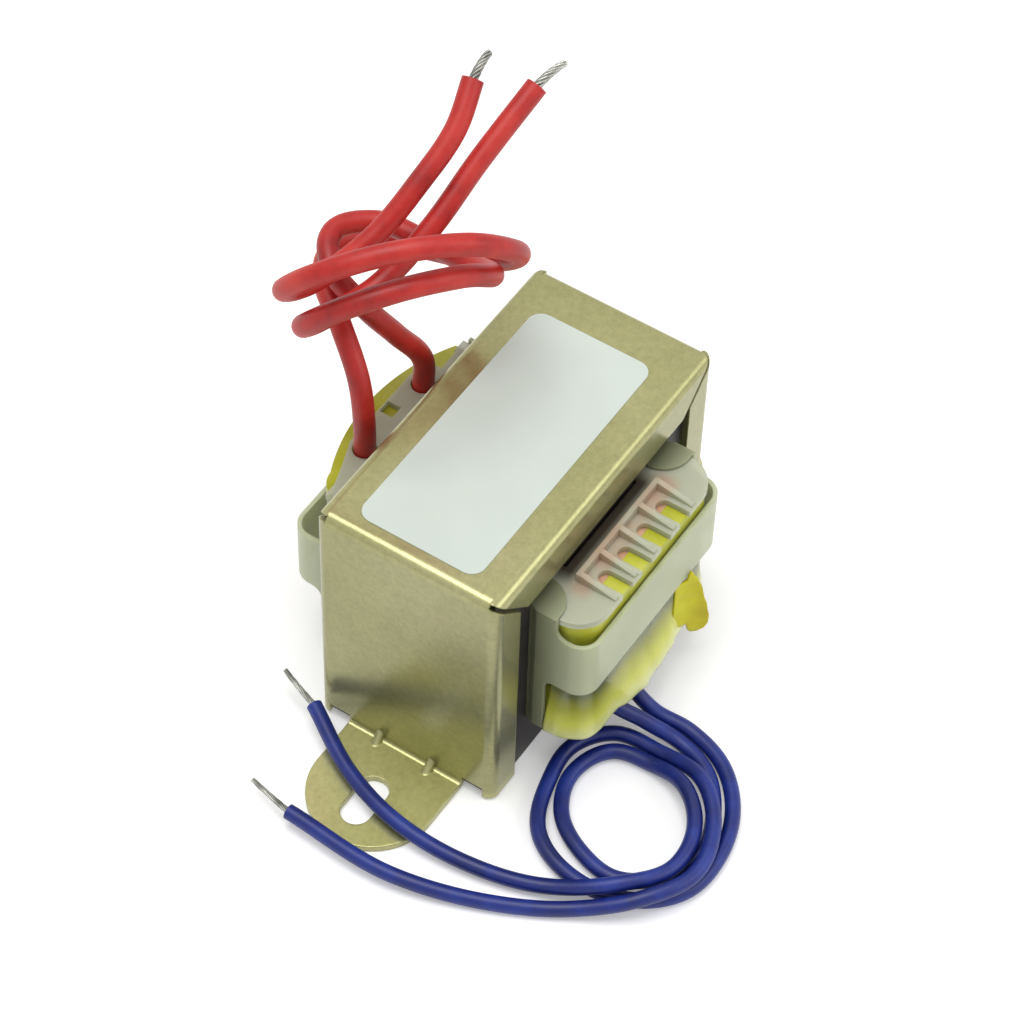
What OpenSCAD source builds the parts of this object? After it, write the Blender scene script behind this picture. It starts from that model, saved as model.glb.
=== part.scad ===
// Laminated chassis transformer: interleaved EI core in a folded steel clamp, with a
// two-chamber bobbin, two U-shaped insulating covers and four free leads.
// Millimetres. X runs along the feet, Y through the lamination stack, Z up from the
// surface that the feet stand on. The origin is the centre of the footprint.

/* [Core] */
// Length of a lamination
lam_w = 48; // [46:0.5:52]
// Height of the closed core, yoke to yoke
lam_h = 40; // [39:0.25:42]
// Width of the centre leg
centre_leg_w = 16; // [14:0.5:17]
// Width of each outer leg
outer_leg_w = 8; // [7:0.25:8.5]
// Height of each yoke
yoke_h = 8; // [7:0.25:8.5]
// Thickness of one lamination
sheet_t = 0.5; // [0.35:0.05:0.7]
// Number of laminations in the stack
sheet_count = 50; // [40:2:60]
// Height of the core above the surface under the feet
core_lift = 0.2; // [0.1:0.05:0.5]

/* [Clamp] */
// Thickness of the clamp's sheet
clamp_t = 1; // [0.8:0.05:1.2]
// Outer radius of every fold
bend_r = 1.5; // [1.3:0.1:2]
// Height of the lips folded down from the top
top_lip_h = 6.5; // [4:0.25:7]
// Width of the lips folded round from the ends
side_lip_w = 5.3; // [4:0.1:6.5]
// Open gap along the mitre between two lips
mitre_gap = 0.7; // [0.6:0.1:2]
// Width of each foot
foot_w = 17.5; // [14:0.5:20]
// Distance between the centres of the two slots
slot_spacing = 68.5; // [67:0.5:76]
// Overall length of each slot
slot_l = 8; // [6:0.25:9]
// Width of each slot
slot_w = 4.2; // [3.2:0.1:5]
// Distance from a slot's centre to the tip of its foot
foot_tip = 6.85; // [6:0.25:9]
// Width of the relief cut beside each foot
relief_w = 3.2; // [2:0.2:3.4]
// Height of the relief cut above the surface
relief_h = 2.2; // [1.8:0.1:4]
// Distance of each stiffening dimple from the middle of the foot
dimple_y = 4; // [2:0.25:6]
// Radius of each stiffening dimple
dimple_r = 0.6; // [0.4:0.05:0.7]

/* [Label] */
// Length of the rating label
label_l = 40.6; // [20:0.2:44]
// Width of the rating label
label_w = 17.8; // [8:0.2:20]
// Corner radius of the rating label
label_r = 2; // [0.5:0.25:4]
// Thickness of the rating label
label_t = 0.12; // [0.1:0.02:0.3]

/* [Bobbin] */
// Clearance between each end of the bobbin and the yoke beside it
bobbin_gap = 0.5; // [0.4:0.05:1]
// Thickness of each flange
flange_t = 1; // [0.8:0.1:1.4]
// Wall of the tube round the centre leg
tube_wall = 0.9; // [0.6:0.05:1.1]
// Clearance between the tube and the centre leg
tube_gap = 0.3; // [0.1:0.05:0.4]
// Distance that the flanges reach past the faces of the core
flange_reach = 8.5; // [8:0.25:10]
// Radius of the two front corners of an end flange
flange_corner_r = 4.6; // [2:0.2:4.8]
// Height of the comb on the front of an end flange
comb_h = 1.4; // [1:0.1:2]
// Distance between neighbouring ribs of the comb
comb_pitch = 4.5; // [4:0.1:4.8]
// Thickness of each rib of the comb
comb_rib_t = 0.8; // [0.5:0.1:1]
// Width of the notch in each cell of the comb
notch_w = 2.3; // [2.2:0.05:2.8]
// Diameter of the two lead holes at the back of an end flange
lead_hole_d = 3.2; // [3:0.05:3.6]

/* [Covers] */
// Wall of each U-shaped insulating cover
cover_t = 0.6; // [0.4:0.05:0.8]
// Height of a cover's band round the winding
cover_band_h = 9.7; // [8:0.1:10]
// Distance from the core's face to the outside of the front cover
cover_reach = 9; // [8.9:0.1:11]
// Outer radius of a cover's two corners
cover_corner_r = 2.9; // [1.5:0.1:4]
// How far a cover spreads on each side once it is out of the window
cover_spread = 0.45; // [0.3:0.05:0.8]
// Thickness of the thin lip along the edge of a cover's legs
cover_lip_t = 0.35; // [0.2:0.05:0.4]
// Width of that lip
cover_lip_w = 4.85; // [4.2:0.05:6]
// Radius of the rounded front end of that lip
cover_lip_r = 4; // [3:0.1:4]
// How far the rear cover is pushed out by the winding's bulge
rear_shift = 2.7; // [2.4:0.1:3.5]

/* [Windings] */
// Thickness of the tape over the sides of each winding
tape_side_t = 1.85; // [1.2:0.05:2.5]
// Thickness of the tape over the front and back of each winding
tape_front_t = 3; // [2:0.1:3.5]
// Height of the bulge of the tape over the red leads' splices
tape_bulge = 2.7; // [1.5:0.1:2.9]

/* [Leads] */
// Diameter of the red primary leads
red_d = 2.9; // [2.4:0.1:3]
// Diameter of the blue secondary leads
blue_d = 2.1; // [1.6:0.1:2.1]
// Diameter of the tinned conductor in a red lead
red_core_d = 1.3; // [0.8:0.1:1.5]
// Diameter of the tinned conductor in a blue lead
blue_core_d = 0.9; // [0.6:0.1:1.1]

/* [Hidden] */
$fn = 64;
eps = 0.01;

// Core
stack = sheet_t * sheet_count;
core_x = lam_w / 2;
core_y = stack / 2;
window_x = core_x - outer_leg_w;
mid_z = core_lift + lam_h / 2;
window_half = lam_h / 2 - yoke_h;

// Clamp
clamp_x = core_x + clamp_t;
clamp_y = core_y + clamp_t;
clamp_top = core_lift + lam_h + clamp_t;
bend_inner = bend_r - clamp_t;
strip_y = clamp_y - bend_r;
mitre_cut = mitre_gap * sqrt(2) / 2;
post_bottom = clamp_t / 2;
foot_end = slot_spacing / 2 + foot_tip;
foot_centre = foot_end - foot_w / 2;
dimple_reach = 0.4;
dimple_l = 2 * ((clamp_t + dimple_reach) * sqrt(2) - dimple_r) - 0.2;
label_shift = [-2, 0.3];

// Covers
slide_gap = 0.1;
cover_x = window_x - slide_gap - 0.05;
cover_end = 0.5;
cover_half = window_half - 0.05;
band_drop = 3.7;
cover_band_top = window_half - band_drop;
spread_start = core_y + 0.3;
spread_end = spread_start + 2 * cover_spread;
leg_step_low = core_y + 2.7;
leg_step_high = core_y + cover_lip_r + slide_gap;
step_r = 1.5;

// Bobbin
tube_x = centre_leg_w / 2 + tube_gap;
tube_y = core_y + tube_gap;
drum_x = tube_x + tube_wall;
drum_y = tube_y + tube_wall;
flange_x = cover_x - cover_t - slide_gap;
flange_y = core_y + flange_reach;
ear_x = flange_x + cover_spread;
ear_start = spread_end + rear_shift + slide_gap;
bobbin_h = 2 * (window_half - bobbin_gap);
chamber_h = (bobbin_h - 3 * flange_t) / 2;
upper_floor = mid_z + flange_t / 2;
lower_floor = mid_z - flange_t / 2 - chamber_h;
upper_roof = upper_floor + chamber_h;
lower_roof = lower_floor + chamber_h;
ridge_y = drum_y + 1.2;
ridge_t = 0.7;
notch_start = ridge_y + ridge_t + notch_w;
lead_hole_x = [-6.8, 6.4];
lead_hole_y = core_y + 6.2;
window_cut = 2;
rear_step_x = lead_hole_x[1] + 0.6;
rear_slope_x = rear_step_x + 3.5;
rear_window_x = rear_step_x + 3;
rear_window_w = ear_x - 2 - rear_window_x;

// Windings
winding_r = 4.5;
tape_x = flange_x - 0.1;
tape_y = flange_y - 0.4;
tape_r = 3.5;
winding_x = tape_x - tape_side_t;
winding_y = tape_y - tape_front_t;
bulge_r = 29;
bulge_corner_r = 5;
skirt_top = lower_floor + 2.5;
skirt_drop = 0.6;
skirt_flare = 0.6;
skirt_swell = 1.2;
tail_t = 0.15;
tail_r = 10.3;
tail_start = 3;
tail_tip_r = 1.1;
splice_l = 4;

// Routes of the four leads, from the bobbin to the stripped end
red_start_z = upper_roof;
blue_start_z = lower_floor;
red_outer_route = [
    [-6.8, 18.7, red_start_z], [-6.8, 18.7, 37], [-5.8, 20.2, 43.5], [-2.8, 25, 48],
    [1.5, 30.5, 49], [7, 33, 48], [11.8, 30, 47.5], [13.5, 23, 48.5], [13.2, 15.4, 51.4],
    [11.2, 8.8, 57.5], [6.6, 5.5, 65], [0, 8, 70.5], [-7.5, 14.5, 71.5], [-12.5, 21.5, 68],
    [-11.5, 27, 61], [-4.5, 27.5, 56], [3.5, 24, 59.2], [10, 22, 64], [17, 21, 68.7],
    [22, 22, 72.2]
];
red_inner_route = [
    [6.4, 18.7, red_start_z], [6.4, 18.7, 36.5], [3, 20.6, 43.5], [0.2, 23.5, 49.5],
    [0.6, 28.5, 53], [5, 31.5, 54], [9.8, 28.5, 53.5], [11, 21.5, 53], [9.7, 14.3, 54.6],
    [6.5, 8.5, 59], [-0.5, 8.5, 65], [-7.5, 12.5, 66.5], [-12.5, 18, 64], [-13, 23, 58.5],
    [-7.5, 24.5, 53.5], [0, 21.7, 54.2], [8, 19, 59.2], [17, 17.5, 65], [27, 15.8, 70.5]
];
blue_outer_route = [
    [-2.2, -19.6, blue_start_z], [-2.2, -19.6, 6.5], [-2, -23.5, 2.3], [-1.6, -29, 1.4],
    [-3.6, -35, 1.2], [-8.6, -39.8, 1.2], [-15.6, -42.2, 1.2], [-22.8, -41.5, 1.2],
    [-27.8, -36.5, 1.2], [-29.2, -29.3, 1.2], [-25.9, -21.3, 1.2], [-18.6, -18, 1.2],
    [-12, -17.6, 1.2], [-7.4, -21, 1.2], [-6.6, -27.6, 1.2], [-8.3, -34.7, 3.2],
    [-14.2, -40.1, 3.4], [-21.2, -41.7, 3.4], [-28, -38.2, 3.4], [-33.4, -30.8, 1.4],
    [-38.6, -20.8, 1.2], [-42.1, -9.6, 2], [-41.8, 6.6, 2.3]
];
blue_inner_route = [
    [-6.7, -19.6, blue_start_z], [-6.7, -19.6, 7], [-4.8, -24, 3.3], [-3.9, -28.8, 1.4],
    [-5.6, -33.8, 1.2], [-10.4, -38, 1.2], [-16.6, -40, 1.2], [-22.6, -38, 1.2],
    [-26.2, -33, 1.2], [-25.3, -27.3, 1.2], [-21.4, -21.8, 1.2], [-15, -19.9, 1.2],
    [-9.9, -22.4, 1.2], [-8.8, -27.6, 1.2], [-10.4, -33.4, 3], [-15.4, -38, 3.3],
    [-22, -38.9, 3.4], [-28.4, -34.3, 3.8], [-32.4, -26.6, 1.7], [-35.2, -15.8, 1.6],
    [-35.2, -5, 2.3], [-32.4, 3.6, 2.3], [-27, 13, 3.4]
];
// The stripped ends carry on from the last point of each route
red_outer_end = [[22, 22, 72.2], [24, 22.2, 73.3], [25.9, 22.1, 73.8]];
red_inner_end = [[27, 15.8, 70.5], [29.3, 15.2, 71.5], [31.4, 14.4, 71.8]];
blue_outer_end = [[-41.8, 6.6, 2.3], [-41.2, 9.9, 2.3], [-40.4, 13.3, 2.3]];
blue_inner_end = [[-27, 13, 3.4], [-26.2, 15.9, 3.8], [-25, 19.1, 4.2]];

cord_sides = 8;
wire_sides = 6;

// Colours
zinc = "#a9a263";
steel = "#3c3d40";
nylon = "#d9dccb";
copper = "#a85b3c";
tape_yellow = "#c9bd2e";
label_grey = "#cfdad2";
red_pvc = "#c22a2a";
blue_pvc = "#1d3286";
tin = "#b9bab6";

// ---- Shared shapes ----

// Flat rectangle with rounded corners, half sizes hx and hy
module round_rect(hx, hy, r) {
    square([2 * hx, 2 * (hy - r)], center = true);
    square([2 * (hx - r), 2 * hy], center = true);
    for (x = [-1, 1], y = [-1, 1])
        translate([x * (hx - r), y * (hy - r)]) circle(r);
}

// A flat shape drawn in X and Z, given a thickness along Y from y0 to y1
module stand_up(y0, y1) {
    translate([0, y1, 0]) rotate([90, 0, 0]) linear_extrude(y1 - y0) children();
}

// A flat shape drawn in Y and Z, given a thickness along X from x0 to x1
module stand_across(x0, x1) {
    translate([x0, 0, 0]) rotate([90, 0, 90]) linear_extrude(x1 - x0) children();
}

// Quarter of a folded sheet, from the +X side round to the +Y side, length l along Z
module fold(l) {
    rotate_extrude(angle = 90) translate([bend_inner, 0]) square([clamp_t, l]);
}

// The same fold pressed tight, with a square inner edge where it bears on the core
module tight_fold(l) {
    linear_extrude(l) difference() {
        intersection() {
            circle(bend_r);
            square(bend_r);
        }
        square(bend_inner);
    }
}

// Fillet that fills the inner corner between the +X and +Y axes
module corner_fill(r) {
    difference() {
        square(r);
        translate([r, r]) circle(r);
    }
}

// ---- Swept leads ----

function unit(v) = v / norm(v);
function last(list) = len(list) - 1;

// Direction of travel at point i: straight off at the first point
function heading(route, i) =
    i == 0 ? unit(route[1] - route[0]) :
    unit(route[min(i + 1, last(route))] - route[i - 1]);

// Part of v that is square to the unit vector h
function square_to(v, h) = unit(v - (v * h) * h);

// Side vector at every point, carried along the route without twist
function side_vectors(route, first) = [
    for (i = 0, s = square_to(first, heading(route, 0)); i < len(route);
         i = i + 1, s = i < len(route) ? square_to(s, heading(route, i)) : s) s
];

// One ring of points round point p, square to heading h, starting at side vector s
function ring_at(p, h, s, r, sides) = [
    for (k = [0 : sides - 1])
        let (a = 360 * (k + 0.5) / sides)
        p + r * (cos(a) * s + sin(a) * cross(h, s))
];

// Tube of a given diameter along a route of points
module swept_tube(route, d, sides, first = [1, 0, 0]) {
    n = len(route);
    s = side_vectors(route, first);
    points = [for (i = [0 : n - 1]) each ring_at(route[i], heading(route, i), s[i], d / 2, sides)];
    walls = [
        for (i = [0 : n - 2], k = [0 : sides - 1])
            let (a = i * sides + k, b = i * sides + (k + 1) % sides)
            [a, a + sides, b + sides, b]
    ];
    start_cap = [for (k = [0 : sides - 1]) k];
    end_cap = [for (k = [sides - 1 : -1 : 0]) (n - 1) * sides + k];
    polyhedron(points, concat(walls, [start_cap, end_cap]), convexity = 10);
}

// ---- Clamp ----

module clamp_end(side) {
    // Fold, end panel and corner fold of one end of the channel
    mirror([side < 0 ? 1 : 0, 0, 0]) {
        translate([clamp_x - bend_r, strip_y, clamp_top - bend_r])
            rotate([90, 0, 0]) tight_fold(2 * strip_y);
        difference() {
            translate([core_x, -strip_y, post_bottom])
                cube([clamp_t, 2 * strip_y, clamp_top - bend_r - post_bottom]);
            translate([core_x - eps, -foot_w / 2 - relief_w, post_bottom - eps])
                cube([clamp_t + 2 * eps, foot_w + 2 * relief_w, relief_h - post_bottom + eps]);
        }
        translate([core_x, -foot_w / 2, bend_r])
            cube([clamp_t, foot_w, relief_h - bend_r + eps]);
    }
}

module clamp_foot(side) {
    mirror([side < 0 ? 1 : 0, 0, 0]) {
        translate([clamp_x + bend_inner, foot_w / 2, bend_r])
            rotate([90, 180, 0]) fold(foot_w);
        difference() {
            union() {
                translate([clamp_x + bend_inner, -foot_w / 2, 0])
                    cube([foot_centre - clamp_x - bend_inner, foot_w, clamp_t]);
                translate([foot_centre, 0, 0]) cylinder(h = clamp_t, d = foot_w);
            }
            slot();
        }
        for (y = [-dimple_y, dimple_y])
            translate([clamp_x + dimple_reach, y, clamp_t + dimple_reach])
                rotate([0, -45, 0]) cylinder(r = dimple_r, h = dimple_l, center = true);
    }
}

module slot() {
    half = (slot_l - slot_w) / 2;
    translate([slot_spacing / 2, 0, -eps]) {
        for (x = [-half, half])
            translate([x, 0, 0]) cylinder(h = clamp_t + 2 * eps, d = slot_w);
        translate([-half, -slot_w / 2, 0]) cube([2 * half, slot_w, clamp_t + 2 * eps]);
    }
}

// Lip folded down from the top plate, mitred at both ends
module top_lip() {
    top_half = clamp_x - mitre_cut;
    intersection() {
        union() {
            translate([-clamp_x, strip_y, clamp_top - bend_r])
                rotate([90, 0, 90]) tight_fold(2 * clamp_x);
            translate([-clamp_x, core_y, clamp_top - top_lip_h])
                cube([2 * clamp_x, clamp_t, top_lip_h - bend_r]);
        }
        stand_up(strip_y, clamp_y)
            polygon([
                [-top_half, clamp_top], [top_half, clamp_top],
                [top_half - top_lip_h, clamp_top - top_lip_h],
                [-top_half + top_lip_h, clamp_top - top_lip_h]
            ]);
    }
}

// Lip folded round from an end panel, cut off along the mitre
module side_lip() {
    inner = clamp_x - side_lip_w;
    lip_top = clamp_top - mitre_cut;
    intersection() {
        union() {
            translate([clamp_x - bend_r, strip_y, post_bottom])
                tight_fold(clamp_top - post_bottom);
            translate([inner, core_y, post_bottom])
                cube([side_lip_w - bend_r, clamp_t, clamp_top - post_bottom]);
        }
        stand_up(strip_y, clamp_y)
            polygon([
                [inner, post_bottom], [clamp_x, post_bottom],
                [clamp_x, lip_top], [inner, lip_top - side_lip_w]
            ]);
    }
}

module mounting_clamp() {
    color(zinc) {
        translate([-clamp_x + bend_r, -strip_y, clamp_top - clamp_t])
            cube([2 * (clamp_x - bend_r), 2 * strip_y, clamp_t]);
        for (side = [-1, 1]) {
            clamp_end(side);
            clamp_foot(side);
            mirror([0, side < 0 ? 1 : 0, 0]) top_lip();
            for (face = [0, 1])
                mirror([side < 0 ? 1 : 0, 0, 0]) mirror([0, face, 0]) side_lip();
        }
    }
}

// ---- Core ----

// Outline of an E lamination with its legs up, standing on Z = 0
module e_outline() {
    leg = centre_leg_w / 2;
    tall = lam_h - yoke_h;
    polygon([
        [-core_x, 0], [core_x, 0], [core_x, tall], [window_x, tall], [window_x, yoke_h],
        [leg, yoke_h], [leg, tall], [-leg, tall], [-leg, yoke_h], [-window_x, yoke_h],
        [-window_x, tall], [-core_x, tall]
    ]);
}

// Every second sheet of the stack, starting with sheet 0 or sheet 1
module every_second(first) {
    for (i = [first : 2 : sheet_count - 1])
        stand_up(-core_y + i * sheet_t, -core_y + (i + 1) * sheet_t) children();
}

module core_e_sheets_upright() {
    color(steel) every_second(0) translate([0, core_lift]) e_outline();
}

module core_e_sheets_inverted() {
    color(steel) every_second(1)
        translate([0, core_lift + lam_h]) mirror([0, 1]) e_outline();
}

module core_i_sheets_top() {
    color(steel) every_second(0)
        translate([-core_x, core_lift + lam_h - yoke_h]) square([lam_w, yoke_h]);
}

module core_i_sheets_bottom() {
    color(steel) every_second(1)
        translate([-core_x, core_lift]) square([lam_w, yoke_h]);
}

// ---- Label ----

module rating_label() {
    color(label_grey)
        translate([label_shift[0], label_shift[1], clamp_top])
            linear_extrude(label_t) round_rect(label_l / 2, label_w / 2, label_r);
}

// ---- Bobbin ----

// Outline of an end flange: rounded at the front, stepped back at the rear corners
module end_flange_outline() {
    rear_y = core_y + 6.1;
    difference() {
        union() {
            round_rect(ear_x, flange_y, flange_corner_r);
            translate([-ear_x, 0]) square([2 * ear_x, rear_y]);
        }
        for (x = [-1, 1]) {
            translate([x > 0 ? flange_x : -ear_x - 1, -ear_start])
                square([ear_x - flange_x + 1, 2 * ear_start]);
            polygon([
                [x * rear_step_x, flange_y + 1], [x * rear_step_x, flange_y - 0.1],
                [x * rear_slope_x, flange_y - 1.4], [x * (ear_x - 2), rear_y],
                [x * (ear_x + 1), rear_y], [x * (ear_x + 1), flange_y + 1]
            ]);
        }
    }
}

// Notches for the leads in the front edge of an end flange, one in each cell of the comb
module lead_notches() {
    for (i = [-1.5 : 1.5]) translate([i * comb_pitch, 0]) {
        translate([0, -notch_start]) circle(d = notch_w);
        translate([-notch_w / 2, -flange_y - 1]) square([notch_w, flange_y + 1 - notch_start]);
    }
}

module end_flange_holes() {
    for (x = lead_hole_x) translate([x, lead_hole_y]) circle(d = lead_hole_d);
    translate([-0.5, flange_y - 2.2]) square([window_cut, window_cut]);
    translate([rear_window_x, flange_y - 2.7]) square([rear_window_w, 4]);
}

// Ribs and ridge on the outer face of an end flange, standing up from Z = 0
module comb() {
    half = 2 * comb_pitch + comb_rib_t / 2;
    translate([-half, -ridge_y - ridge_t, 0]) cube([2 * half, ridge_t, comb_h]);
    for (i = [-2 : 2])
        stand_across(i * comb_pitch - comb_rib_t / 2, i * comb_pitch + comb_rib_t / 2)
            polygon([
                [-ridge_y, 0], [-ridge_y, comb_h], [-ridge_y - ridge_t, comb_h],
                [-flange_y + 0.2, 0.3], [-flange_y + 0.2, 0]
            ]);
}

// End flange with its comb, outer face up, inner face on Z = 0
module end_flange() {
    difference() {
        linear_extrude(flange_t) end_flange_outline();
        translate([0, 0, -eps]) linear_extrude(flange_t + 2 * eps) {
            lead_notches();
            end_flange_holes();
            square([2 * tube_x, 2 * tube_y], center = true);
        }
    }
    translate([0, 0, flange_t - eps]) comb();
}

module bobbin() {
    color(nylon) {
        translate([0, 0, upper_roof]) end_flange();
        translate([0, 0, lower_floor]) mirror([0, 0, 1]) end_flange();
        difference() {
            union() {
                translate([0, 0, mid_z - flange_t / 2])
                    linear_extrude(flange_t) round_rect(flange_x, tape_y, tape_r);
                translate([0, 0, mid_z])
                    cube([2 * drum_x, 2 * drum_y, 2 * chamber_h + flange_t], center = true);
            }
            translate([0, 0, mid_z])
                cube([2 * tube_x, 2 * tube_y, bobbin_h + 2], center = true);
        }
    }
}

// ---- Windings ----

module winding() {
    linear_extrude(chamber_h) difference() {
        round_rect(winding_x, winding_y, winding_r);
        square([2 * drum_x, 2 * drum_y], center = true);
    }
}

module primary_winding() {
    color(copper) translate([0, 0, upper_floor]) winding();
}

module secondary_winding() {
    color(copper) translate([0, 0, lower_floor]) winding();
}

// Outline of the taped winding, with or without the bulge at the back
module tape_outline(bulge) {
    round_rect(tape_x, tape_y, tape_r);
    if (bulge > 0) intersection() {
        translate([0.5, tape_y + bulge - bulge_r]) circle(bulge_r, $fn = 128);
        translate([-tape_x, 0]) square([2 * tape_x, flange_y + bulge]);
        round_rect(tape_x, tape_y + bulge + 1.5, bulge_corner_r);
    }
}

module primary_tape() {
    color(tape_yellow) difference() {
        translate([0, 0, upper_floor]) linear_extrude(chamber_h) difference() {
            tape_outline(tape_bulge);
            round_rect(winding_x, winding_y, winding_r);
        }
        for (x = lead_hole_x)
            translate([x, lead_hole_y, upper_roof - splice_l])
                cylinder(h = splice_l + eps, d = red_core_d);
    }
}

// Tape drawn down over the front edge of the bottom flange
module skirt() {
    below = skirt_drop + eps;
    front = -leg_step_low - slide_gap;
    intersection() {
        difference() {
            hull() {
                translate([0, 0, skirt_top - eps]) linear_extrude(eps)
                    round_rect(tape_x, tape_y, tape_r, $fn = 32);
                translate([0, 0, lower_floor - flange_t - skirt_drop]) linear_extrude(eps) {
                    round_rect(ear_x + skirt_flare, flange_y + 0.2, flange_corner_r, $fn = 32);
                    translate([-1, 0]) round_rect(8, flange_y + skirt_swell, 6, $fn = 32);
                }
            }
            translate([0, 0, lower_floor - flange_t - below])
                linear_extrude(flange_t + below + eps)
                    round_rect(ear_x + 0.05, flange_y + 0.05, flange_corner_r);
            translate([0, 0, lower_floor])
                linear_extrude(chamber_h) round_rect(tape_x - 1, tape_y - 1, tape_r);
        }
        translate([-ear_x - 2, -flange_y - 5, 0]) cube([2 * ear_x + 4, flange_y + 5 + front, mid_z]);
    }
}

// Outline of the tape's free end in X and Z, measured from the floor of the lower chamber
module tail_outline() {
    under_cover = chamber_h - 1.1;
    polygon([
        [0.5, under_cover], [7.6, under_cover], [7.9, chamber_h + 0.5], [9.3, 6.6],
        [9.9, 3.1], [10.35, 0.1], [10.35, -1.8], [8.15, -1.8], [8.15, -0.5], [6.4, -0.8],
        [6.2, 0.1], [0.5, 0.1]
    ]);
    translate([9.25, -1.8]) circle(tail_tip_r);
}

// Free end of the tape, curling away from the front of the winding
module tape_tail() {
    intersection() {
        union() {
            translate([0.5, -tape_y - tail_t, 0])
                cube([tail_start - 0.5, tail_t, mid_z]);
            translate([tail_start, -tape_y - tail_r, 0])
                rotate_extrude(angle = 90) translate([tail_r - tail_t, 0]) square([tail_t, clamp_top]);
        }
        translate([0, 0, lower_floor]) stand_up(-tape_y - tail_r, -tape_y + eps) tail_outline();
    }
}

module secondary_tape() {
    color(tape_yellow) difference() {
        union() {
            translate([0, 0, lower_floor]) linear_extrude(chamber_h) difference() {
                tape_outline(0);
                round_rect(winding_x, winding_y, winding_r);
            }
            skirt();
            tape_tail();
        }
        for (p = [blue_outer_route[0], blue_inner_route[0]])
            translate([p[0], p[1], p[2] - eps])
                cylinder(h = splice_l + eps, d = blue_core_d);
    }
}

module primary_splices() {
    color(tin)
        for (x = lead_hole_x)
            translate([x, lead_hole_y, upper_roof - splice_l])
                cylinder(h = splice_l, d = red_core_d);
}

module secondary_splices() {
    color(tin)
        for (p = [blue_outer_route[0], blue_inner_route[0]])
            translate(p) cylinder(h = splice_l, d = blue_core_d);
}

// ---- Covers ----

// Plan of a cover's wall: a U with its legs in the windows and its band at the front
module cover_plan(inset) {
    half = cover_x - inset;
    front = core_y + cover_reach - inset;
    wide = half + cover_spread;
    r = cover_corner_r - inset;
    translate([-half, -spread_start]) square([2 * half, spread_start - cover_end + inset]);
    polygon([
        [-half, -spread_start + eps], [-wide, -spread_end], [wide, -spread_end],
        [half, -spread_start + eps]
    ]);
    translate([-wide, -front + r]) square([2 * wide, front - r - spread_end]);
    translate([-wide + r, -front]) square([2 * (wide - r), r]);
    for (x = [-1, 1]) translate([x * (wide - r), -front + r]) circle(r);
}

// Side view of a cover, in Y and Z measured from the middle of the window
module cover_side() {
    band_low = cover_band_top - cover_band_h;
    front = core_y + cover_reach + 1;
    translate([-leg_step_low, -cover_half]) square([leg_step_low, 2 * cover_half]);
    translate([-front, band_low]) square([front, cover_band_h]);
    translate([-leg_step_high, 0]) square([leg_step_high, cover_half]);
    translate([-leg_step_high, cover_band_top]) mirror([1, 0]) corner_fill(step_r);
    translate([-leg_step_low, band_low]) mirror([1, 0]) mirror([0, 1]) corner_fill(step_r);
}

// Thin lip along the top edge of one leg, ending in a rounded wing in front of the core
module cover_lip() {
    inner = cover_x - cover_lip_w;
    wing = inner + cover_lip_r;
    translate([inner, -core_y]) square([cover_lip_w, core_y - cover_end]);
    intersection() {
        union() {
            translate([wing, -core_y]) circle(cover_lip_r);
            translate([wing, -core_y - cover_lip_r])
                square([cover_x + cover_spread - wing, cover_lip_r]);
        }
        polygon([
            [inner, -core_y + eps], [cover_x, -core_y + eps], [cover_x, -spread_start],
            [cover_x + cover_spread, -spread_end], [cover_x + cover_spread, -leg_step_high],
            [inner, -leg_step_high]
        ]);
    }
}

// Cover on the front of the upper winding, measured from the middle of the window
module u_cover() {
    intersection() {
        translate([0, 0, -cover_half]) linear_extrude(2 * cover_half) difference() {
            cover_plan(0);
            cover_plan(cover_t);
        }
        stand_across(-core_x, core_x) cover_side();
    }
    for (side = [0, 1]) mirror([side, 0, 0])
        translate([0, 0, cover_half - cover_lip_t])
            linear_extrude(cover_lip_t) cover_lip();
}

module front_cover() {
    color(nylon) translate([0, 0, mid_z]) u_cover();
}

module rear_cover() {
    color(nylon) translate([0, rear_shift, mid_z]) rotate([180, 0, 0]) u_cover();
}

// ---- Leads ----

module red_lead_outer() {
    color(red_pvc) swept_tube(red_outer_route, red_d, cord_sides);
}

module red_lead_inner() {
    color(red_pvc) swept_tube(red_inner_route, red_d, cord_sides);
}

module blue_lead_outer() {
    color(blue_pvc) swept_tube(blue_outer_route, blue_d, cord_sides);
}

module blue_lead_inner() {
    color(blue_pvc) swept_tube(blue_inner_route, blue_d, cord_sides);
}

module red_outer_wire_end() {
    color(tin) swept_tube(red_outer_end, red_core_d, wire_sides, [0, 1, 0]);
}

module red_inner_wire_end() {
    color(tin) swept_tube(red_inner_end, red_core_d, wire_sides, [0, 1, 0]);
}

module blue_outer_wire_end() {
    color(tin) swept_tube(blue_outer_end, blue_core_d, wire_sides);
}

module blue_inner_wire_end() {
    color(tin) swept_tube(blue_inner_end, blue_core_d, wire_sides);
}

mounting_clamp();
core_e_sheets_upright();
core_e_sheets_inverted();
core_i_sheets_top();
core_i_sheets_bottom();
bobbin();
primary_winding();
secondary_winding();
primary_tape();
secondary_tape();
front_cover();
rear_cover();
rating_label();
primary_splices();
secondary_splices();
red_lead_outer();
red_lead_inner();
blue_lead_outer();
blue_lead_inner();
red_outer_wire_end();
red_inner_wire_end();
blue_outer_wire_end();
blue_inner_wire_end();
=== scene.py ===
"""Looks of the laminated chassis transformer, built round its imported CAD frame.

Everything is in metres, in the frame's own axes: X along the feet, Y through the stack,
Z up from the surface. Sizes written in millimetres are multiplied by MM.
"""

import math

import bpy
from mathutils import Matrix, Vector


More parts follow.
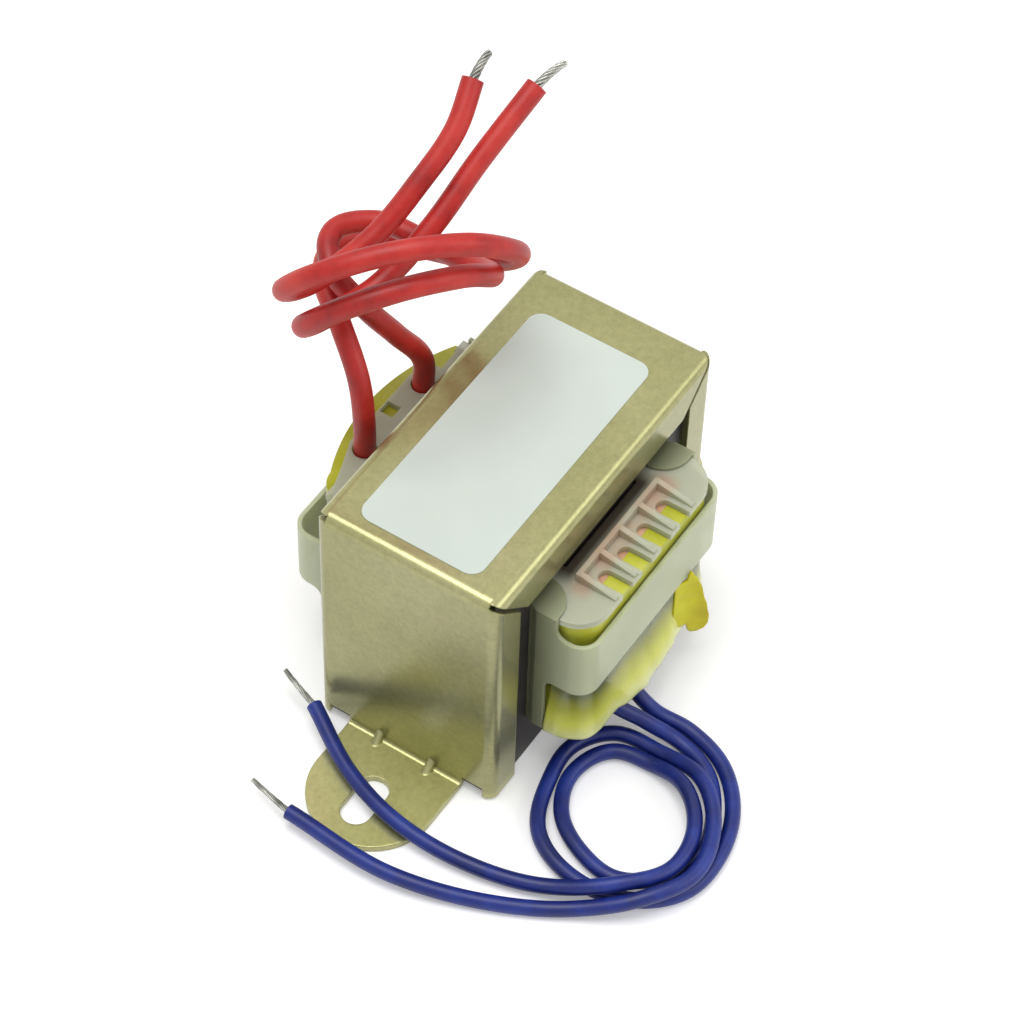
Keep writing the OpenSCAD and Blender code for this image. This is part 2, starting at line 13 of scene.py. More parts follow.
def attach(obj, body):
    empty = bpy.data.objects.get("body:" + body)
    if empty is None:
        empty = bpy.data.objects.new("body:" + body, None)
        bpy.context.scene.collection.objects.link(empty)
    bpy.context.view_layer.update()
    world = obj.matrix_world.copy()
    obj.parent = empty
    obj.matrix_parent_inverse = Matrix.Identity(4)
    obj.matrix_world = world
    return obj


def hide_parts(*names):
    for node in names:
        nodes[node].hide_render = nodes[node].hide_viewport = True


MM = 0.001
BODY = "root"

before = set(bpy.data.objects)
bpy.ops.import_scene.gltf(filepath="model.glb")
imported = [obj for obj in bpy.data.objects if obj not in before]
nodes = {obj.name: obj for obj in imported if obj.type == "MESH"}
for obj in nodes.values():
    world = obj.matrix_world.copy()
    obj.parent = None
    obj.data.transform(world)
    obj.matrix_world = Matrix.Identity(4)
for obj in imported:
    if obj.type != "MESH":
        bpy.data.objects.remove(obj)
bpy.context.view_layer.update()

# ---- Camera -------------------------------------------------------------------------

# Place in millimetres, and the directions of the picture's right and up
CAMERA_AT = (-240.7, -148.6, 381.2)
CAMERA_RIGHT = (0.5499, -0.8349, 0.0221)
CAMERA_UP = (0.6464, 0.4427, 0.6215)
CAMERA_LENS = 124.64
SENSOR = 36


def make_camera():
    """The photograph's camera, from its place and two directions."""
    data = bpy.data.cameras.new("camera")
    data.sensor_width = SENSOR
    data.lens = CAMERA_LENS
    data.clip_start = 0.01
    data.clip_end = 10
    camera = bpy.data.objects.new("camera", data)
    right = Vector(CAMERA_RIGHT).normalized()
    back = right.cross(Vector(CAMERA_UP)).normalized()
    up = back.cross(right)
    turn = Matrix((right, up, back)).transposed().to_4x4()
    camera.matrix_world = Matrix.Translation(Vector(CAMERA_AT) * MM) @ turn
    bpy.context.scene.collection.objects.link(camera)
    bpy.context.scene.camera = camera


# ---- Sizes that the looks follow, in millimetres ------------------------------------

# Half the stack's depth, the front of the covers, and just above the feet's top face
CORE_HALF = 12.5
COVER_REACH = 21.2
FOOT_TOP = 1.2

# Tape on the lower winding, and its flared skirt over the bottom flange
TAPE_HALF = 15.12
TAPE_FRONT = 20.68
TAPE_CORNER = 3.5
SKIRT_START = 15.4
SKIRT_HALF = 16.35
SKIRT_FRONT = 21.35
SKIRT_CORNER = 4.6
SKIRT_SWELL = 1.15
SKIRT_TOP = 19.4
SKIRT_BOTTOM = 8.0
SKIRT_FILM = 0.1
# Half the width of the swelling, how far pleats, creases and the uneven hem reach, and the
# place towards -Y that the pleats fan out from
SWELL_HALF = 12
PLEAT = 0.14
CRUSH = 0.16
HEM = 0.22
HEM_NICKS = 0.12
PLEAT_CENTRE = 16

# Free tail of that tape: it leaves the winding at TAIL_START along X, on an arc of TAIL_R
TAIL_START = 3
TAIL_R = 10.3
TAIL_FILM = 0.3
# How far it stands off that arc, everywhere and at its folds
TAIL_GAP = 0.07
TAIL_FOLD = 0.0288
# Each row: distance along X, then the heights of the lower and the upper edge there
TAIL_EDGES = [
    (5.6, 9.6, 18.6), (7.4, 9.1, 18.6), (7.9, 8.9, 20.3), (8.15, 7.4, 19.7), (8.6, 6.9, 18.7),
    (9.25, 6.7, 16.8), (9.95, 7, 13), (10.4, 8.1, 9.9),
]

# Stripped wire ends: the count of strands, one strand's share of the bundle's diameter, how far
# round they twist, and how much shorter each of three lengths is than the one before
STRANDS = 8
STRAND_SHARE = 0.3
STRAND_TURNS = 0.7
STRAND_STEP = 0.06

# ---- Leads --------------------------------------------------------------------------

# Heights where the leads start, inside the bobbin, and the diameters of insulation and core
RED_START_Z = 30.7
BLUE_START_Z = 9.7
RED_D = 2.9
BLUE_D = 2.1
RED_CORE_D = 1.3
BLUE_CORE_D = 0.9

# Points on each lead's middle line, from the bobbin to where its insulation ends
RED_OUTER = [
    (-6.8, 18.7, RED_START_Z), (-6.8, 18.7, 37), (-5.8, 20.2, 43.5), (-2.8, 25, 48),
    (1.5, 30.5, 49), (7, 33, 48), (11.8, 30, 47.5), (13.5, 23, 48.5), (13.2, 15.4, 51.4),
    (11.2, 8.8, 57.5), (6.6, 5.5, 65), (0, 8, 70.5), (-7.5, 14.5, 71.5), (-12.5, 21.5, 68),
    (-11.5, 27, 61), (-4.5, 27.5, 56), (3.5, 24, 59.2), (10, 22, 64), (17, 21, 68.7),
    (22, 22, 72.2),
]
RED_INNER = [
    (6.4, 18.7, RED_START_Z), (6.4, 18.7, 36.5), (3, 20.6, 43.5), (0.2, 23.5, 49.5),
    (0.6, 28.5, 53), (5, 31.5, 54), (9.8, 28.5, 53.5), (11, 21.5, 53), (9.7, 14.3, 54.6),
    (6.5, 8.5, 59), (-0.5, 8.5, 65), (-7.5, 12.5, 66.5), (-12.5, 18, 64), (-13, 23, 58.5),
    (-7.5, 24.5, 53.5), (0, 21.7, 54.2), (8, 19, 59.2), (17, 17.5, 65), (27, 15.8, 70.5),
]
BLUE_OUTER = [
    (-2.2, -19.6, BLUE_START_Z), (-2.2, -19.6, 6.5), (-2, -23.5, 2.3), (-1.6, -29, 1.4),
    (-3.6, -35, 1.2), (-8.6, -39.8, 1.2), (-15.6, -42.2, 1.2), (-22.8, -41.5, 1.2),
    (-27.8, -36.5, 1.2), (-29.2, -29.3, 1.2), (-25.9, -21.3, 1.2), (-18.6, -18, 1.2),
    (-12, -17.6, 1.2), (-7.4, -21, 1.2), (-6.6, -27.6, 1.2), (-8.3, -34.7, 3.2),
    (-14.2, -40.1, 3.4), (-21.2, -41.7, 3.4), (-28, -38.2, 3.4), (-33.4, -30.8, 1.4),
    (-38.6, -20.8, 1.2), (-42.1, -9.6, 2), (-41.8, 6.6, 2.3),
]
BLUE_INNER = [
    (-6.7, -19.6, BLUE_START_Z), (-6.7, -19.6, 7), (-4.8, -24, 3.3), (-3.9, -28.8, 1.4),
    (-5.6, -33.8, 1.2), (-10.4, -38, 1.2), (-16.6, -40, 1.2), (-22.6, -38, 1.2),
    (-26.2, -33, 1.2), (-25.3, -27.3, 1.2), (-21.4, -21.8, 1.2), (-15, -19.9, 1.2),
    (-9.9, -22.4, 1.2), (-8.8, -27.6, 1.2), (-10.4, -33.4, 3), (-15.4, -38, 3.3),
    (-22, -38.9, 3.4), (-28.4, -34.3, 3.8), (-32.4, -26.6, 1.7), (-35.2, -15.8, 1.6),
    (-35.2, -5, 2.3), (-32.4, 3.6, 2.3), (-27, 13, 3.4),
]
# The stripped ends carry on from the insulation
RED_OUTER_END = [RED_OUTER[-1], (24, 22.2, 73.3), (25.9, 22.1, 73.8)]
RED_INNER_END = [RED_INNER[-1], (29.3, 15.2, 71.5), (31.4, 14.4, 71.8)]
BLUE_OUTER_END = [BLUE_OUTER[-1], (-41.2, 9.9, 2.3), (-40.4, 13.3, 2.3)]
BLUE_INNER_END = [BLUE_INNER[-1], (-26.2, 15.9, 3.8), (-25, 19.1, 4.2)]


def smooth_tangents(points):
    """Direction of travel at each point, weighted to the nearer neighbour."""
    tangents = []
    for i, p in enumerate(points):
        if i == 0:
            tangents.append((points[1] - p).normalized())
        elif i == len(points) - 1:
            tangents.append((p - points[i - 1]).normalized())
        else:
            before, after = p - points[i - 1], points[i + 1] - p
            mixed = before / before.length_squared + after / after.length_squared
            tangents.append(mixed.normalized())
    return tangents


def smooth_curve(name, route, diameter):
    """A round cord along a route in millimetres, as one smooth Bezier spline."""
    points = [Vector(p) * MM for p in route]
    tangents = smooth_tangents(points)
    data = bpy.data.curves.new(name, "CURVE")
    data.dimensions = "3D"
    data.bevel_depth = diameter * MM / 2
    data.bevel_resolution = 8
    data.resolution_u = 14
    data.use_fill_caps = True
    spline = data.splines.new("BEZIER")
    spline.bezier_points.add(len(points) - 1)
    for i, (bp, p, t) in enumerate(zip(spline.bezier_points, points, tangents)):
        bp.handle_left_type = bp.handle_right_type = "FREE"
        bp.co = p
        before = (p - points[i - 1]).length if i else 0
        after = (points[i + 1] - p).length if i + 1 < len(points) else 0
        bp.handle_left = p - t * before / 3
        bp.handle_right = p + t * after / 3
    obj = bpy.data.objects.new(name, data)
    bpy.context.scene.collection.objects.link(obj)
    return obj


# ---- Materials ----------------------------------------------------------------------


class Nodes:
    """Small helper for building one material's node tree."""

    def __init__(self, name):
        self.material = bpy.data.materials.new(name)
        self.material.use_nodes = True
        self.tree = self.material.node_tree
        self.shader = self.tree.nodes["Principled BSDF"]
        self.place = self.add("ShaderNodeTexCoord").outputs["Object"]

    def add(self, kind, **values):
        node = self.tree.nodes.new(kind)
        for key, value in values.items():
            setattr(node, key, value)
        return node

    def link(self, out, socket):
        self.tree.links.new(out, socket)

    def set(self, **values):
        for key, value in values.items():
            self.shader.inputs[key.replace("_", " ")].default_value = value

    def noise(self, scale, detail=3, rough=0.5, distortion=0):
        node = self.add("ShaderNodeTexNoise")
        node.inputs["Scale"].default_value = scale
        node.inputs["Detail"].default_value = detail
        node.inputs["Roughness"].default_value = rough
        node.inputs["Distortion"].default_value = distortion
        self.link(self.place, node.inputs["Vector"])
        return node.outputs["Fac"]

    def ramp(self, value, stops):
        """Colours along a value; each stop is a position and a linear colour."""
        node = self.add("ShaderNodeValToRGB")
        ramp = node.color_ramp
        while len(ramp.elements) < len(stops):
            ramp.elements.new(0.5)
        for element, (at, color) in zip(ramp.elements, stops):
            element.position = at
            element.color = (*color, 1)
        self.link(value, node.inputs["Fac"])
        return node.outputs["Color"]

    def range(self, value, low, high, out_low, out_high):
        """A value moved from one range to another, and held between the new limits."""
        node = self.add("ShaderNodeMapRange")
        for key, number in zip(
            ("From Min", "From Max", "To Min", "To Max"), (low, high, out_low, out_high)
        ):
            node.inputs[key].default_value = number
        self.link(value, node.inputs["Value"])
        return node.outputs["Result"]

    def mix(self, factor, a, b):
        """From colour socket a at 0 to the linear colour b at 1."""
        node = self.add("ShaderNodeMix", data_type="RGBA")
        factor_in, a_in, b_in = (node.inputs[i] for i in (0, 6, 7))
        self.link(factor, factor_in)
        self.link(a, a_in)
        b_in.default_value = (*b, 1)
        return node.outputs[2]

    def math(self, operation, a, b=0):
        node = self.add("ShaderNodeMath", operation=operation)
        for socket, value in zip(node.inputs, (a, b)):
            if isinstance(value, bpy.types.NodeSocket):
                self.link(value, socket)
            else:
                socket.default_value = value
        return node.outputs[0]

    def axis(self, index):
        """One object coordinate, in metres: 0 for X, 1 for Y, 2 for Z."""
        split = self.add("ShaderNodeSeparateXYZ")
        self.link(self.place, split.inputs[0])
        return split.outputs[index]

    def between(self, value, low, high, soft):
        """1 where a value in metres lies between two limits, with soft edges."""
        rise = self.range(value, low - soft, low + soft, 0, 1)
        fall = self.range(value, high - soft, high + soft, 1, 0)
        return self.math("MULTIPLY", rise, fall)

    def bump(self, height, strength, depth, normal=None):
        """A bumped normal; depth is in metres."""
        node = self.add("ShaderNodeBump")
        node.inputs["Strength"].default_value = strength
        node.inputs["Distance"].default_value = depth
        self.link(height, node.inputs["Height"])
        if normal is not None:
            self.link(normal, node.inputs["Normal"])
        return node.outputs["Normal"]

    def bevel(self, radius):
        """A normal that rounds sharp edges in the shading; the radius is in metres."""
        node = self.add("ShaderNodeBevel", samples=4)
        node.inputs["Radius"].default_value = radius
        return node.outputs["Normal"]

    def to(self, out, key):
        self.link(out, self.shader.inputs[key])


def linear(r, g, b):
    """A colour given as 0 to 255 screen values, in Blender's linear values."""
    def one(v):
        v /= 255
        return v / 12.92 if v <= 0.04045 else ((v + 0.055) / 1.055) ** 2.4
    return one(r), one(g), one(b)


def zinc_material():
    m = Nodes("zinc_plated_steel")
    cloud = m.noise(38, 4, 0.6)
    fine = m.noise(1300, 3, 0.7)
    hue = m.ramp(cloud, [
        (0.3, linear(158, 156, 106)), (0.5, linear(168, 166, 117)), (0.72, linear(176, 173, 130)),
    ])
    grain_and_painted_light = m.range(fine, 0.3, 0.7, 0.86, 1.08)
    facing = m.add("ShaderNodeSeparateXYZ")
    m.link(m.add("ShaderNodeNewGeometry").outputs["Normal"], facing.inputs[0])
    # Painted light and shade: upright faces are painted a little darker than the top, and the feet
    # painted lighter than both
    painted_facing_light = m.range(facing.outputs["Z"], 0, 1, 0.88, 1.14)
    low = m.range(m.axis(2), FOOT_TOP * MM, 2 * MM, 1.28, 1)
    # The grain also carries the painted shade of upright faces and the painted light on the feet
    grain_and_painted_light = m.math("MULTIPLY", m.math("MULTIPLY", grain_and_painted_light, painted_facing_light), low)
    shade = m.add("ShaderNodeVectorMath", operation="SCALE")
    m.link(hue, shade.inputs[0])
    m.link(grain_and_painted_light, shade.inputs["Scale"])
    m.to(shade.outputs[0], "Base Color")
    m.set(Metallic=0.66, IOR=1.45)
    m.to(m.range(cloud, 0.3, 0.7, 0.22, 0.28), "Roughness")
    m.to(m.bump(fine, 0.05, 0.00003, m.bevel(0.0003)), "Normal")
    return m.material


def steel_material():
    m = Nodes("silicon_steel")
    blotch = m.noise(120, 4, 0.6)
    m.to(m.ramp(blotch, [(0.3, linear(44, 42, 44)), (0.7, linear(84, 78, 74))]), "Base Color")
    m.set(Metallic=0.7, Roughness=0.5)
    m.to(m.bump(m.noise(1500, 2), 0.2, 0.00003), "Normal")
    return m.material


def nylon_base(m, alpha, color):
    """Settings that every moulded nylon piece shares; gives its clouded colour."""
    cloud = m.noise(90, 3, 0.5)
    dark = tuple(v * 0.9 for v in linear(*color))
    m.set(Roughness=0.38, IOR=1.5, Alpha=alpha)
    m.set(Subsurface_Weight=0.4, Subsurface_Scale=0.0015, Subsurface_Radius=(1, 1, 0.7))
    m.to(m.bump(m.noise(420, 3), 0.15, 0.00006, m.bevel(0.0002)), "Normal")
    return m.ramp(cloud, [(0.3, dark), (0.7, linear(*color))])


def front_patch(m, back, front, half, soft, side_soft):
    """1 over a part of the front flange: from back to front towards -Y, and half each side.

    The sizes are in millimetres. The last two say how softly the patch ends, front and back
    and at its sides.
    """
    forward = m.math("MULTIPLY", m.axis(1), -1)
    across = m.math("ABSOLUTE", m.axis(0))
    along = m.between(forward, back * MM, front * MM, soft * MM)
    inside = m.between(across, -half * MM, half * MM, side_soft * MM)
    return m.math("MULTIPLY", along, inside)


def bobbin_material():
    """Translucent flanges, tinted by the copper that lies behind them, and darkened over the core
    both by the dark core behind them and by painted shadow under the clamp's lip.
    """
    m = Nodes("nylon_bobbin")
    pale = nylon_base(m, 0.7, (209, 212, 188))
    over_copper = front_patch(m, 14.4, 17.6, 11.2, 0.7, 0.8)
    patchy = m.range(m.noise(260, 2), 0.35, 0.65, 0.2, 0.85)
    pink = m.mix(m.math("MULTIPLY", over_copper, patchy), pale, linear(210, 176, 152))
    # Painted shadow: the strip over the core is darkened for the shade under the clamp's lip as
    # well as for the dark core behind it
    core_and_painted_shadow = front_patch(m, 10, 14.3, 9.8, 0.6, 1.2)
    m.to(m.mix(core_and_painted_shadow, pink, linear(92, 82, 68)), "Base Color")
    return m.material


def cover_material():
    """Milky insulating covers, darker where they lie close over the core, partly for the dark core
    behind them and partly as painted shade under the clamp's lips.
    """
    m = Nodes("nylon_cover")
    pale = nylon_base(m, 0.78, (207, 213, 177))
    reach = m.math("ABSOLUTE", m.axis(1))
    # Painted shade, with the dark core's show-through: darkest next to the core, fading out towards
    # the covers' front
    core_and_painted_shade = m.range(reach, CORE_HALF * MM, COVER_REACH * MM, 0.9, 0)
    m.to(m.mix(core_and_painted_shade, pale, linear(108, 110, 80)), "Base Color")
    return m.material


def copper_material():
    m = Nodes("enamelled_copper")
    turns = m.add("ShaderNodeTexWave", wave_type="BANDS", bands_direction="Z")
    turns.inputs["Scale"].default_value = 500
    m.link(m.place, turns.inputs["Vector"])
    layers = m.noise(300, 3, 0.6)
    m.to(m.ramp(layers, [(0.3, linear(182, 132, 104)), (0.7, linear(206, 166, 136))]), "Base Color")
    m.set(Metallic=0.1, Roughness=0.35, Coat_Weight=0.3, Coat_Roughness=0.2)
    m.to(m.bump(turns.outputs["Fac"], 0.6, 0.0001), "Normal")
    return m.material


def tape_base(m, color):
    m.to(color, "Base Color")
    m.set(Roughness=0.26, IOR=1.5, Coat_Weight=0.15, Coat_Roughness=0.12)
    creases = m.noise(240, 4, 0.55, distortion=1.5)
    m.to(m.bump(creases, 0.4, 0.0003, m.bevel(0.00015)), "Normal")


def tape_material():
    m = Nodes("polyester_tape")
    tape_base(m, m.ramp(m.noise(120, 4, 0.6), [
        (0.25, linear(158, 160, 26)), (0.5, linear(184, 186, 48)), (0.8, linear(206, 208, 96)),
    ]))
    return m.material


def skirt_material():
    """Tape over the lower winding: olive on the winding, darkened at the top as painted shadow
    under the cover, and pale where it stands free, lightened as painted light at the hem.
    """
    m = Nodes("polyester_tape_skirt")
    blur = m.range(m.noise(160, 3), 0.3, 0.7, -0.7 * MM, 0.7 * MM)
    height = m.math("ADD", m.axis(2), blur)
    # Painted shade and light by height: dark olive at the top for the cover's shadow, pale at the
    # hem for light through and below the free film
    tape_base(m, m.ramp(m.range(height, SKIRT_BOTTOM * MM, 19.5 * MM, 0, 1), [
        (0.05, linear(224, 228, 150)), (0.26, linear(212, 214, 88)),
        (0.5, linear(160, 162, 48)), (0.72, linear(92, 98, 40)),
    ]))
    return m.material


def tail_material():
    m = Nodes("polyester_tape_tail")
    tape_base(m, m.ramp(m.noise(130, 3, 0.6), [
        (0.3, linear(190, 180, 4)), (0.55, linear(212, 206, 16)), (0.8, linear(226, 224, 60)),
    ]))
    m.set(Roughness=0.45, Coat_Weight=0, Specular_IOR_Level=0.25, Subsurface_Weight=0.3)
    m.set(Subsurface_Scale=0.001)
    return m.material


def label_material():
    m = Nodes("label_film")
    cloud = m.noise(60, 2)
    m.to(m.ramp(cloud, [(0.3, linear(197, 207, 198)), (0.7, linear(205, 215, 206))]), "Base Color")
    m.set(Roughness=0.48, IOR=1.45)
    m.to(m.bump(m.noise(1400, 2), 0.08, 0.00003, m.bevel(0.00006)), "Normal")
    return m.material


def pvc_material(name, dark, mid, light, rough):
    m = Nodes(name)
    cloud = m.noise(140, 4, 0.6)
    m.to(m.ramp(cloud, [(0.3, dark), (0.5, mid), (0.75, light)]), "Base Color")
    m.set(IOR=1.5, Specular_IOR_Level=0.5)
    m.to(m.range(cloud, 0.3, 0.7, rough - 0.05, rough + 0.07), "Roughness")
    m.to(m.bump(m.noise(600, 4, 0.65), 0.25, 0.00008), "Normal")
    return m.material


def tin_material():
    m = Nodes("tinned_copper")
    m.to(m.ramp(m.noise(400, 3), [
        (0.3, linear(112, 112, 106)), (0.7, linear(184, 184, 176)),
    ]), "Base Color")
    m.set(Metallic=0.85, Roughness=0.3)
    m.to(m.bump(m.noise(1800, 2), 0.25, 0.00004), "Normal")
    return m.material


def give(obj, material):
    """One material on a piece, in place of any that it has."""
    obj.data.materials.clear()
    obj.data.materials.append(material)


# ---- Pieces -------------------------------------------------------------------------


def make_lead(name, route, diameter, material, node):
    """One insulated lead as a round cord; the bundle of bare strands at its end is made by
    make_strands.
    """
    lead = smooth_curve(name, route, diameter)
    give(lead, material)
    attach(lead, BODY)
    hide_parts(node)


def tape_piece(name, verts, faces, material, thickness):
    """A smooth sheet of tape from points in millimetres, riding with the transformer."""
    data = bpy.data.meshes.new(name)
    data.from_pydata([Vector(v) * MM for v in verts], [], faces)
    data.update()
    for face in data.polygons:
        face.use_smooth = True
    obj = bpy.data.objects.new(name, data)
    bpy.context.scene.collection.objects.link(obj)
    shell = obj.modifiers.new("thickness", "SOLIDIFY")
    shell.thickness = thickness * MM
    shell.offset = 0
    give(obj, material)
    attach(obj, BODY)


def grid_faces(rows, columns):
    """Faces of a grid of points that are listed row by row."""
    return [
        (r * columns + c, r * columns + c + 1, (r + 1) * columns + c + 1, (r + 1) * columns + c)
        for r in range(rows - 1) for c in range(columns - 1)
    ]


def smooth_step(low, high, value):
    """0 at low and 1 at high, level at both; it falls where low is the larger."""
    t = min(max((value - low) / (high - low), 0), 1)
    return t * t * (3 - 2 * t)


def front_outline(half, front, start, corner, swell, count):
    """Points round the front of a rounded box, from its -X side to its +X side.

    The sides begin at start, towards -Y. The front swells most near its middle.
    """
    side = front - corner - start
    arc = math.pi / 2 * corner
    face = 2 * (half - corner)
    total = 2 * (side + arc) + face
    points = []
    for i in range(count):
        d = total * i / (count - 1)
        mirrored = d > total / 2
        d = min(d, total - d)
        if d < side:
            x, y = -half, -(start + d)
        elif d < side + arc:
            turn = (d - side) / corner
            x = -(half - corner) - corner * math.cos(turn)
            y = -(front - corner) - corner * math.sin(turn)
        else:
            x, y = -(half - corner) + d - side - arc, -front
        x = -x if mirrored else x
        middle = smooth_step(SWELL_HALF, 0, abs(x + 1))
        points.append((x, y - swell * middle * smooth_step(start, front, -y)))
    return points


def make_skirt(material):
    """Tape round the front of the lower winding, flared over the bottom flange's edge."""
    columns, rows = 150, 40
    tight = front_outline(TAPE_HALF, TAPE_FRONT, SKIRT_START, TAPE_CORNER, 0, columns)
    flared = front_outline(SKIRT_HALF, SKIRT_FRONT, SKIRT_START, SKIRT_CORNER, SKIRT_SWELL, columns)
    verts = []
    for r in range(rows):
        v = r / (rows - 1)
        for c in range(columns):
            u = c / (columns - 1)
            ends = smooth_step(0, 0.06, u) * smooth_step(0, 0.06, 1 - u)
            flare = smooth_step(0.25, 1, v) ** 1.3
            (xa, ya), (xb, yb) = tight[c], flared[c]
            x, y = xa + (xb - xa) * flare, ya + (yb - ya) * flare
            # Pleats and crushed creases move the film in and out
            pleat = math.sin(31 * u + 2.2 * v) + 0.6 * math.sin(67 * u - 3.1 * v + 1)
            crush = 0.5 * math.sin(13 * u + 9 * v)
            out = ends * (PLEAT * pleat + CRUSH * crush) * flare
            reach = math.hypot(x, y + PLEAT_CENTRE)
            hem = HEM * ends * math.sin(23 * u + 1) + HEM_NICKS * math.sin(51 * u)
            z = SKIRT_TOP + (SKIRT_BOTTOM - SKIRT_TOP) * v + hem * flare
            verts.append((x + out * x / reach, y + out * (y + PLEAT_CENTRE) / reach, z))
    tape_piece("tape_skirt", verts, grid_faces(rows, columns), material, SKIRT_FILM)


def tail_edges_at(x):
    """Heights of the tail's lower and upper edge at a distance along X."""
    for a, b in zip(TAIL_EDGES, TAIL_EDGES[1:]):
        if a[0] <= x < b[0]:
            t = smooth_step(a[0], b[0], x)
            return a[1] + (b[1] - a[1]) * t, a[2] + (b[2] - a[2]) * t
    return TAIL_EDGES[-1][1:]


def make_tail(material):
    """Free end of the tape: a leaf that curls away from the winding."""
    rows, columns = 26, 30
    first, last = TAIL_EDGES[0][0], TAIL_EDGES[-1][0]
    verts = []
    for c in range(columns):
        x = first + (last - first) * c / (columns - 1)
        low, high = tail_edges_at(x)
        bend = math.sqrt(TAIL_R ** 2 - (x - TAIL_START) ** 2)
        for r in range(rows):
            v = r / (rows - 1)
            z = low + (high - low) * v
            fold = math.sin(1.3 * z + 0.8 * x) * smooth_step(5, 8, x)
            lift = TAIL_GAP + TAIL_FOLD * fold ** 2
            verts.append((x, -TAPE_FRONT - TAIL_R + bend - lift, z))
    tape_piece("tape_tail", verts, grid_faces(columns, rows), material, TAIL_FILM)


def make_strands(name, route, diameter, material, wire_node):
    """A stripped end as a twisted bundle of fine tinned strands."""
    path = [Vector(p) * MM for p in route]
    data = bpy.data.curves.new(name, "CURVE")
    data.dimensions = "3D"
    data.bevel_depth = diameter * MM * STRAND_SHARE / 2
    data.bevel_resolution = 1
    data.use_fill_caps = True
    side = (path[-1] - path[0]).orthogonal().normalized()
    over = (path[-1] - path[0]).normalized().cross(side)
    ring = diameter * MM * (1 - STRAND_SHARE) / 2
    steps = 14
    for k in range(STRANDS):
        spline = data.splines.new("POLY")
        spline.points.add(steps)
        for i in range(steps + 1):
            t = i / steps
            a = path[0].lerp(path[1], t)
            b = path[1].lerp(path[2], t)
            turn = 2 * math.pi * (k / (STRANDS - 1) + STRAND_TURNS * t)
            # The first strand is the straight middle one, and the rest draw in towards the tip
            draw = min(1 + 0.35 * t * t * math.sin(5 * k), 1) * (1 - 0.25 * t)
            radius = ring * draw if k else 0
            at = a.lerp(b, t) + radius * (math.cos(turn) * side + math.sin(turn) * over)
            at -= (path[2] - path[1]) * (STRAND_STEP * (k % 3) * t)
            spline.points[i].co = (*at, 1)
    bundle = bpy.data.objects.new(name, data)
    bpy.context.scene.collection.objects.link(bundle)
    give(bundle, material)
    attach(bundle, BODY)
    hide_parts(wire_node)
    return bundle


make_camera()

red = pvc_material("red_pvc", linear(140, 20, 16), linear(180, 32, 26), linear(204, 56, 46), 0.46)
blue = pvc_material("blue_pvc", linear(8, 24, 86), linear(14, 34, 116), linear(32, 58, 150), 0.42)
tin = tin_material()
for name, route, end, diameter, core, skin, slot, node in (
    ("red_lead_a", RED_OUTER, RED_OUTER_END, RED_D, RED_CORE_D, red, "red_pvc", "red_lead_outer"),
    ("red_lead_b", RED_INNER, RED_INNER_END, RED_D, RED_CORE_D, red, "red_pvc", "red_lead_inner"),
    ("blue_lead_a", BLUE_OUTER, BLUE_OUTER_END, BLUE_D, BLUE_CORE_D, blue, "blue_pvc",
     "blue_lead_outer"),
    ("blue_lead_b", BLUE_INNER, BLUE_INNER_END, BLUE_D, BLUE_CORE_D, blue, "blue_pvc",
     "blue_lead_inner"),
):
    wire_node = node.replace("_lead", "") + "_wire_end"
    strands = make_strands(name + "_strands", end, core, tin, wire_node)
    make_lead(name, route, diameter, skin, node)

steel = steel_material()
cover_nylon = cover_material()
copper = copper_material()
skirt = skirt_material()
for part, material in (
    ("mounting_clamp", zinc_material()),
    ("core_e_sheets_upright", steel),
    ("core_e_sheets_inverted", steel),
    ("core_i_sheets_top", steel),
    ("core_i_sheets_bottom", steel),
    ("bobbin", bobbin_material()),
    ("primary_winding", copper),
    ("secondary_winding", copper),
    ("primary_tape", tape_material()),
    ("secondary_tape", skirt),
    ("front_cover", cover_nylon),
    ("rear_cover", cover_nylon),
    ("rating_label", label_material()),
    ("primary_splices", tin),
    ("secondary_splices", tin),
):
    give(nodes[part], material)
make_skirt(skirt)
make_tail(tail_material())

# ---- Floor and light ----------------------------------------------------------------

FLOOR_SIZE = 6
FLOOR_ALBEDO = 0.9
# What the floor adds where it is seen directly, in a reflection or through glass
FLOOR_GLOW = 0.24
# Strength of the surroundings as a light, and as seen in a reflection
WORLD_LEVEL = 0.5
SEEN_LEVEL = 0.86
# Name, place and size in metres, and power in watts
LAMPS = (
    ("key", (-0.08, 0.1, 1.0), (0.65, 0.65), 6.3),
    ("fill", (0.3, -0.8, 0.6), (0.7, 0.5), 2.6),
)


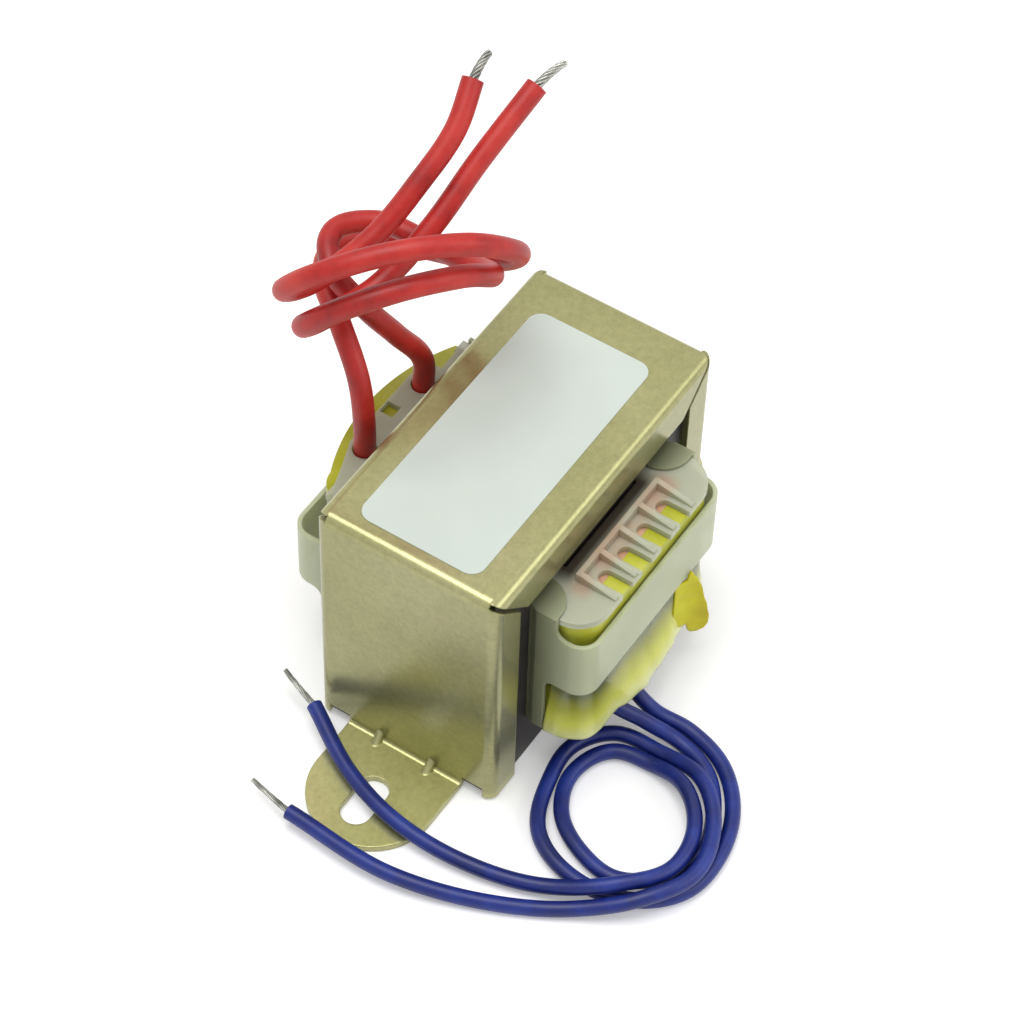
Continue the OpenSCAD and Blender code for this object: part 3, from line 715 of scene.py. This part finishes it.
def seen_directly(tree):
    """1 for rays that show a thing in view, in a reflection or through glass."""
    path = tree.nodes.new("ShaderNodeLightPath").outputs
    total = path["Is Camera Ray"]
    for key in ("Is Glossy Ray", "Is Transmission Ray"):
        larger = tree.nodes.new("ShaderNodeMath")
        larger.operation = "MAXIMUM"
        tree.links.new(total, larger.inputs[0])
        tree.links.new(path[key], larger.inputs[1])
        total = larger.outputs[0]
    return total


def make_floor():
    """A white floor that takes shadows and glows a little where it is seen."""
    bpy.ops.mesh.primitive_plane_add(size=FLOOR_SIZE, location=(0, 0, 0))
    floor = bpy.context.object
    floor.name = "floor"
    m = Nodes("floor")
    m.set(Roughness=0.9, Specular_IOR_Level=0)
    m.set(Base_Color=(FLOOR_ALBEDO, FLOOR_ALBEDO, FLOOR_ALBEDO, 1), Emission_Color=(1, 1, 1, 1))
    m.to(m.math("MULTIPLY", seen_directly(m.tree), FLOOR_GLOW), "Emission Strength")
    give(floor, m.material)


def make_lamp(name, at, size, power):
    """A rectangular lamp that points at the origin."""
    data = bpy.data.lights.new(name, "AREA")
    data.shape = "RECTANGLE"
    data.size, data.size_y = size
    data.energy = power
    lamp = bpy.data.objects.new(name, data)
    lamp.location = at
    lamp.rotation_mode = "QUATERNION"
    lamp.rotation_quaternion = (-Vector(at)).to_track_quat("-Z", "Y")
    bpy.context.scene.collection.objects.link(lamp)


def make_world():
    """An even white surround, with one strength as a light and one where it is seen."""
    world = bpy.data.worlds.new("studio")
    bpy.context.scene.world = world
    world.use_nodes = True
    tree = world.node_tree
    background = tree.nodes["Background"]
    background.inputs["Color"].default_value = (1, 1, 1, 1)
    level = tree.nodes.new("ShaderNodeMapRange")
    level.inputs["To Min"].default_value = WORLD_LEVEL
    level.inputs["To Max"].default_value = SEEN_LEVEL
    tree.links.new(seen_directly(tree), level.inputs["Value"])
    tree.links.new(level.outputs["Result"], background.inputs["Strength"])


make_floor()
make_world()
for lamp in LAMPS:
    make_lamp(*lamp)
bpy.context.scene.view_settings.view_transform = "Standard"
